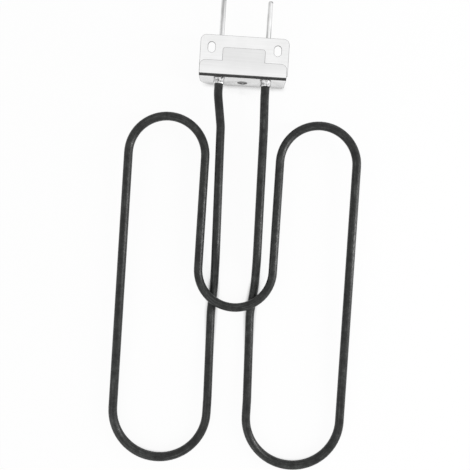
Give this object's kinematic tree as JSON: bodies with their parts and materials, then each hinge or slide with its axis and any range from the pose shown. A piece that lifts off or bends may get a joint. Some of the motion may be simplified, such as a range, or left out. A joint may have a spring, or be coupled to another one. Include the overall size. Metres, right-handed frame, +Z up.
{
  "type": "tubular heating element",
  "caption": "Black tubular heating element bent into looping runs, with round plug pins and a folded steel bracket with a slotted mounting plate.",
  "frame": {"origin": "loop side of the flange, midway between the two tube ends, at the height of their axes", "axes": "+Y along the plug pins away from the heated loops, +X to the right seen from above, +Z up from the surface it lies on, to the side of the bracket's front wall"},
  "size_m": [0.22, 0.4322, 0.0275],
  "materials": {
    "sheath": "satin black oxide",
    "bracket": "satin sheet",
    "plate": "bright sheet",
    "collar": "crimped, slightly stained",
    "pin": "plated",
    "cold_pin": "bare steel",
    "coil": "resistance wire",
    "magnesia": "compacted powder",
    "seal": "silicone",
    "bushing": "matt ceramic"
  },
  "bodies": {
    "root": {"sheath_tube": "sheath", "resistance_coil": "coil", "insulation_fill": "magnesia", "flange_bracket": "bracket", "mounting_plate": "plate", "cold_pin_left": "cold_pin", "end_seal_left": "seal", "end_bushing_left": "bushing", "plug_pin_left": "pin", "crimp_collar_left": "collar", "cold_pin_right": "cold_pin", "end_seal_right": "seal", "end_bushing_right": "bushing", "plug_pin_right": "pin", "crimp_collar_right": "collar"}
  },
  "joints": []
}
